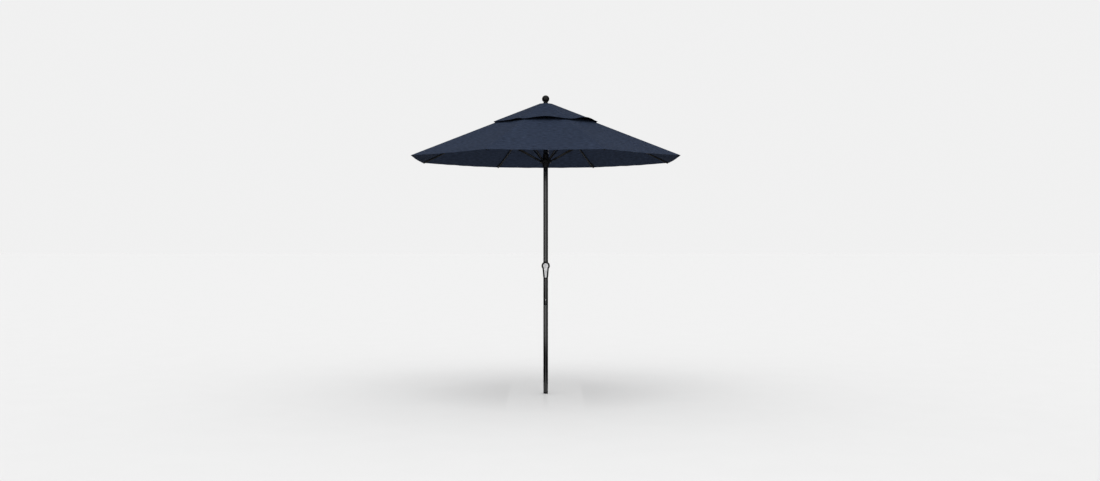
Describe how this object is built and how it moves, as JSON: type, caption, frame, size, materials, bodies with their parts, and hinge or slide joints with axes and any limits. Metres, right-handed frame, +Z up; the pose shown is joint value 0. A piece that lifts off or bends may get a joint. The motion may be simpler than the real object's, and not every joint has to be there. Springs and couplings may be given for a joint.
{
  "type": "patio umbrella",
  "caption": "Octagonal crank-lift market umbrella with a vented canopy, folding ribs and struts, a sliding runner and a two-piece pole that stands in a base.",
  "frame": {"origin": "centre of the pole's foot, on the surface that it stands on", "axes": "+Z up the pole, -Y towards the crank handle, +X to the right of someone who faces the crank"},
  "size_m": [2.1064, 2.1064, 2.438],
  "materials": {
    "black_paint": "gloss black powder coat",
    "black_plastic": "satin black moulded plastic",
    "bronze_paint": "dark bronze-grey paint",
    "navy_fabric": "navy woven polyester",
    "grey_metal": "zinc-plated steel",
    "silver_plastic": "light grey moulded plastic",
    "white_cord": "braided polyester cord"
  },
  "bodies": {
    "pole": {"lower_pole": "black_paint", "upper_pole": "black_paint", "pole_foot_plug": "black_plastic", "pole_insert": "grey_metal", "snap_spring": "grey_metal", "top_hub": "black_plastic", "hub_ring": "grey_metal", "crown_plate": "black_plastic", "finial": "black_plastic", "pulley_axle": "grey_metal", "crank_housing_front": "black_plastic", "crank_housing_rear": "black_plastic", "lift_cord": "white_cord"},
    "snap_button": {"snap_button": "grey_metal"},
    "pulley": {"lift_pulley": "silver_plastic"},
    "crank": {"cord_spool": "grey_metal", "crank_handle": "silver_plastic"},
    "knob": {"crank_knob": "silver_plastic"},
    "runner": {"runner": "black_plastic", "runner_ring": "grey_metal"},
    "rib_1": {"rib_1": "bronze_paint", "rib_tip_1": "black_plastic", "canopy_1": "navy_fabric", "vent_cap_1": "navy_fabric"},
    "strut_1": {"strut_1": "bronze_paint"},
    "rib_2": {"rib_2": "bronze_paint", "rib_tip_2": "black_plastic", "canopy_2": "navy_fabric", "vent_cap_2": "navy_fabric"},
    "strut_2": {"strut_2": "bronze_paint"},
    "rib_3": {"rib_3": "bronze_paint", "rib_tip_3": "black_plastic", "canopy_3": "navy_fabric", "vent_cap_3": "navy_fabric"},
    "strut_3": {"strut_3": "bronze_paint"},
    "rib_4": {"rib_4": "bronze_paint", "rib_tip_4": "black_plastic", "canopy_4": "navy_fabric", "vent_cap_4": "navy_fabric"},
    "strut_4": {"strut_4": "bronze_paint"},
    "rib_5": {"rib_5": "bronze_paint", "rib_tip_5": "black_plastic", "canopy_5": "navy_fabric", "vent_cap_5": "navy_fabric"},
    "strut_5": {"strut_5": "bronze_paint"},
    "rib_6": {"rib_6": "bronze_paint", "rib_tip_6": "black_plastic", "canopy_6": "navy_fabric", "vent_cap_6": "navy_fabric"},
    "strut_6": {"strut_6": "bronze_paint"},
    "rib_7": {"rib_7": "bronze_paint", "rib_tip_7": "black_plastic", "canopy_7": "navy_fabric", "vent_cap_7": "navy_fabric"},
    "strut_7": {"strut_7": "bronze_paint"},
    "rib_8": {"rib_8": "bronze_paint", "rib_tip_8": "black_plastic", "canopy_8": "navy_fabric", "vent_cap_8": "navy_fabric"},
    "strut_8": {"strut_8": "bronze_paint"}
  },
  "joints": [
    {"name": "canopy_fold", "type": "hinge", "parent": "pole", "child": "rib_1", "pos_m": [0.0388, 0.01607, 2.35504], "axis": [-0.3827, 0.9239, 0], "range_deg": [0, 64.5], "deforming": ["canopy_1", "vent_cap_1"]},
    {"name": "strut_1_fold", "type": "hinge", "parent": "rib_1", "child": "strut_1", "pos_m": [0.48781, 0.20206, 2.12761], "axis": [-0.3827, 0.9239, 0], "range_deg": [-129, 0]},
    {"name": "rib_2_fold", "type": "hinge", "parent": "pole", "child": "rib_2", "pos_m": [0.01607, 0.0388, 2.35504], "axis": [-0.9239, 0.3827, 0], "range_deg": [0, 64.5], "deforming": ["canopy_2", "vent_cap_2"]},
    {"name": "strut_2_fold", "type": "hinge", "parent": "rib_2", "child": "strut_2", "pos_m": [0.20206, 0.48781, 2.12761], "axis": [-0.9239, 0.3827, 0], "range_deg": [-129, 0]},
    {"name": "rib_3_fold", "type": "hinge", "parent": "pole", "child": "rib_3", "pos_m": [-0.01607, 0.0388, 2.35504], "axis": [-0.9239, -0.3827, 0], "range_deg": [0, 64.5], "deforming": ["canopy_3", "vent_cap_3"]},
    {"name": "strut_3_fold", "type": "hinge", "parent": "rib_3", "child": "strut_3", "pos_m": [-0.20206, 0.48781, 2.12761], "axis": [-0.9239, -0.3827, 0], "range_deg": [-129, 0]},
    {"name": "rib_4_fold", "type": "hinge", "parent": "pole", "child": "rib_4", "pos_m": [-0.0388, 0.01607, 2.35504], "axis": [-0.3827, -0.9239, 0], "range_deg": [0, 64.5], "deforming": ["canopy_4", "vent_cap_4"]},
    {"name": "strut_4_fold", "type": "hinge", "parent": "rib_4", "child": "strut_4", "pos_m": [-0.48781, 0.20206, 2.12761], "axis": [-0.3827, -0.9239, 0], "range_deg": [-129, 0]},
    {"name": "rib_5_fold", "type": "hinge", "parent": "pole", "child": "rib_5", "pos_m": [-0.0388, -0.01607, 2.35504], "axis": [0.3827, -0.9239, 0], "range_deg": [0, 64.5], "deforming": ["canopy_5", "vent_cap_5"]},
    {"name": "strut_5_fold", "type": "hinge", "parent": "rib_5", "child": "strut_5", "pos_m": [-0.48781, -0.20206, 2.12761], "axis": [0.3827, -0.9239, 0], "range_deg": [-129, 0]},
    {"name": "rib_6_fold", "type": "hinge", "parent": "pole", "child": "rib_6", "pos_m": [-0.01607, -0.0388, 2.35504], "axis": [0.9239, -0.3827, 0], "range_deg": [0, 64.5], "deforming": ["canopy_6", "vent_cap_6"]},
    {"name": "strut_6_fold", "type": "hinge", "parent": "rib_6", "child": "strut_6", "pos_m": [-0.20206, -0.48781, 2.12761], "axis": [0.9239, -0.3827, 0], "range_deg": [-129, 0]},
    {"name": "rib_7_fold", "type": "hinge", "parent": "pole", "child": "rib_7", "pos_m": [0.01607, -0.0388, 2.35504], "axis": [0.9239, 0.3827, 0], "range_deg": [0, 64.5], "deforming": ["canopy_7", "vent_cap_7"]},
    {"name": "strut_7_fold", "type": "hinge", "parent": "rib_7", "child": "strut_7", "pos_m": [0.20206, -0.48781, 2.12761], "axis": [0.9239, 0.3827, 0], "range_deg": [-129, 0]},
    {"name": "rib_8_fold", "type": "hinge", "parent": "pole", "child": "rib_8", "pos_m": [0.0388, -0.01607, 2.35504], "axis": [0.3827, 0.9239, 0], "range_deg": [0, 64.5], "deforming": ["canopy_8", "vent_cap_8"]},
    {"name": "strut_8_fold", "type": "hinge", "parent": "rib_8", "child": "strut_8", "pos_m": [0.48781, -0.20206, 2.12761], "axis": [0.3827, 0.9239, 0], "range_deg": [-129, 0]},
    {"name": "runner_level", "type": "hinge", "parent": "strut_1", "child": "runner", "pos_m": [0.0388, 0.01607, 1.90019], "axis": [-0.3827, 0.9239, 0], "range_deg": [0, 64.5]},
    {"name": "crank_turn", "type": "hinge", "parent": "pole", "child": "crank", "pos_m": [0, 0, 1.04404], "axis": [0, -1, 0], "range_deg": [0, 3096]},
    {"name": "knob_spin", "type": "hinge", "parent": "crank", "child": "knob", "pos_m": [0, -0.0476, 0.95554], "axis": [0, -1, 0], "continuous": true},
    {"name": "pulley_turn", "type": "hinge", "parent": "pole", "child": "pulley", "pos_m": [0.021, 0, 2.30004], "axis": [0, 1, 0], "range_deg": [0, 3741]},
    {"name": "snap_press", "type": "slide", "parent": "pole", "child": "snap_button", "axis": [0, 1, 0], "range_m": [0, 0.0045], "stiffness_N_per_m": 900, "springref_m": -0.005, "deforming": ["snap_spring"]}
  ],
  "couplings": [
    {"joint": "strut_1_fold", "follows": "canopy_fold", "ratio": -2},
    {"joint": "rib_2_fold", "follows": "canopy_fold", "ratio": 1},
    {"joint": "strut_2_fold", "follows": "canopy_fold", "ratio": -2},
    {"joint": "rib_3_fold", "follows": "canopy_fold", "ratio": 1},
    {"joint": "strut_3_fold", "follows": "canopy_fold", "ratio": -2},
    {"joint": "rib_4_fold", "follows": "canopy_fold", "ratio": 1},
    {"joint": "strut_4_fold", "follows": "canopy_fold", "ratio": -2},
    {"joint": "rib_5_fold", "follows": "canopy_fold", "ratio": 1},
    {"joint": "strut_5_fold", "follows": "canopy_fold", "ratio": -2},
    {"joint": "rib_6_fold", "follows": "canopy_fold", "ratio": 1},
    {"joint": "strut_6_fold", "follows": "canopy_fold", "ratio": -2},
    {"joint": "rib_7_fold", "follows": "canopy_fold", "ratio": 1},
    {"joint": "strut_7_fold", "follows": "canopy_fold", "ratio": -2},
    {"joint": "rib_8_fold", "follows": "canopy_fold", "ratio": 1},
    {"joint": "strut_8_fold", "follows": "canopy_fold", "ratio": -2},
    {"joint": "runner_level", "follows": "canopy_fold", "ratio": 1},
    {"joint": "crank_turn", "follows": "canopy_fold", "ratio": 48},
    {"joint": "pulley_turn", "follows": "canopy_fold", "ratio": 58}
  ]
}
